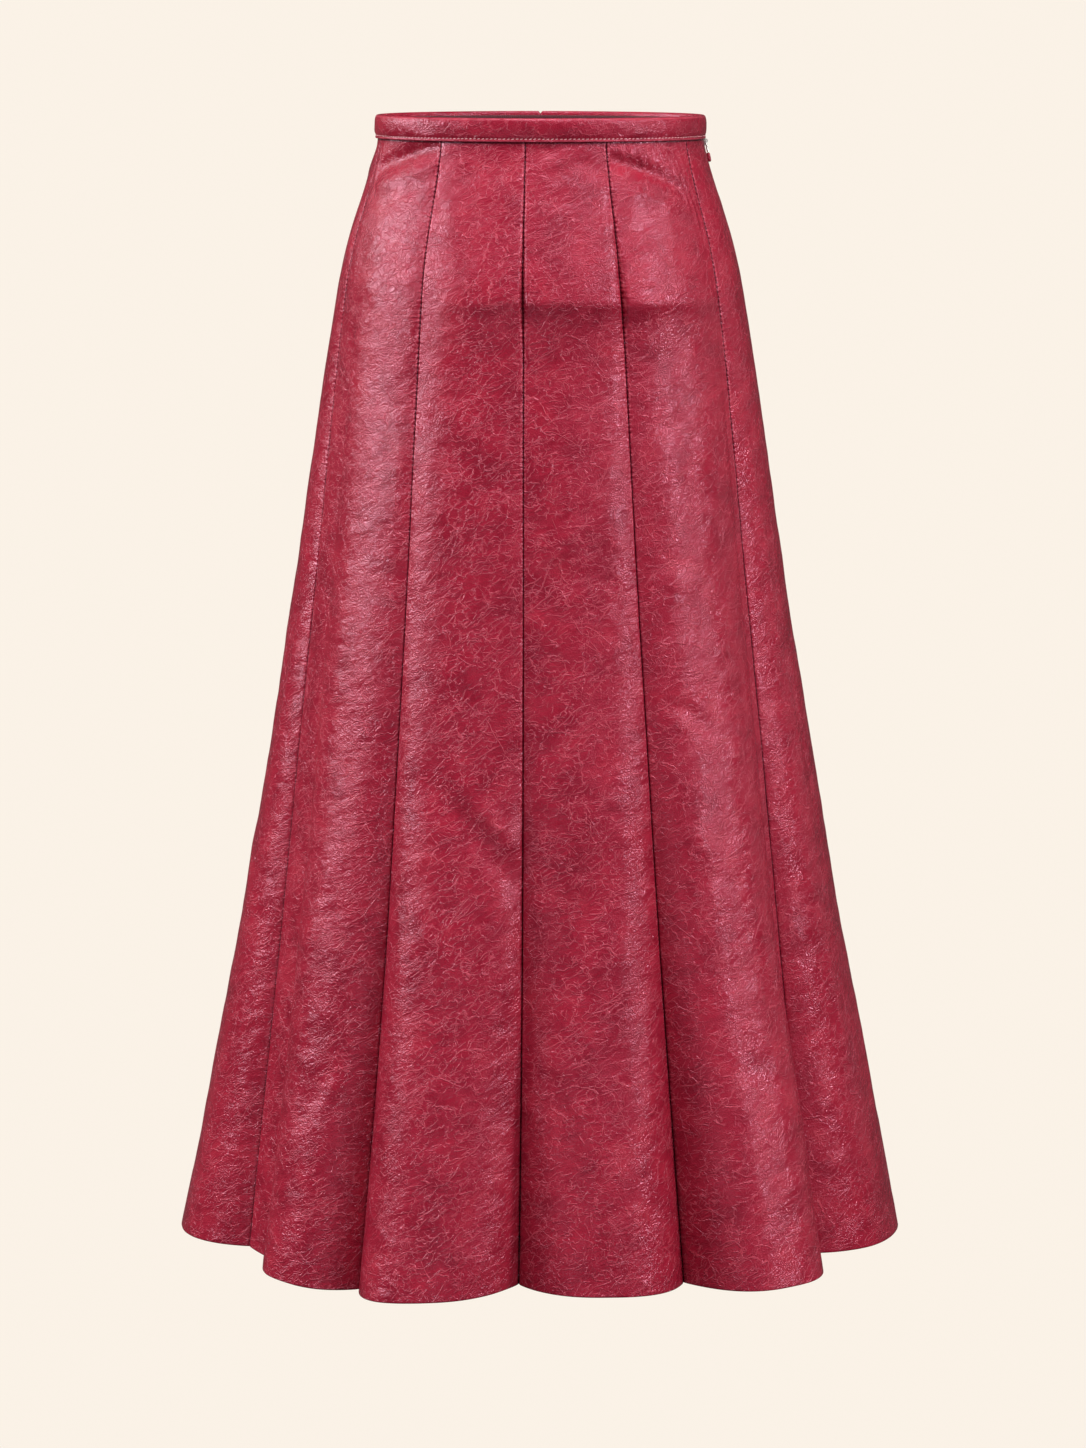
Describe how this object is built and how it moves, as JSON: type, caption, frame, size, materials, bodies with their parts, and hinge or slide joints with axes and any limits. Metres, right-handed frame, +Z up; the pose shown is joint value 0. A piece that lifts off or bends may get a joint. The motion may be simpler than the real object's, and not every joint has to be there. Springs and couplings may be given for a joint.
{
  "type": "gored leather skirt",
  "caption": "Long flared leather skirt of sewn gores hanging in soft flutes from a narrow waistband, with a side zip.",
  "frame": {"origin": "centre of the waistband, half way up it, inside the waist opening", "axes": "+Z up out of the waist, -Y the front of the skirt, +X the side with the zip"},
  "size_m": [0.5481, 0.4695, 0.856],
  "materials": {
    "leather": "soft glossy creased",
    "facing": "ribbed matte",
    "zip_tape": "woven matte",
    "metal": "bright plated",
    "pull_leather": "soft glossy"
  },
  "bodies": {
    "skirt": {"gore_back_left": "leather", "gore_side_back_left": "leather", "gore_side_left": "leather", "gore_side_front_left": "leather", "gore_front_left": "leather", "gore_front_right": "leather", "gore_side_front_right": "leather", "gore_side_right": "leather", "gore_side_back_right": "leather", "gore_back_right": "leather", "band_front": "leather", "band_back_left": "leather", "band_back_right": "leather", "band_facing": "facing", "zip_tape_front": "zip_tape", "zip_tape_back": "zip_tape", "zip_slider": "metal"},
    "pull": {"zip_link": "metal", "zip_tab": "pull_leather"}
  },
  "joints": [
    {"name": "pull_swing", "type": "hinge", "parent": "skirt", "child": "pull", "pos_m": [0.12214, 0.01554, -0.0108], "axis": [0.1973, -0.9803, 0], "range_deg": [0, 150]}
  ]
}
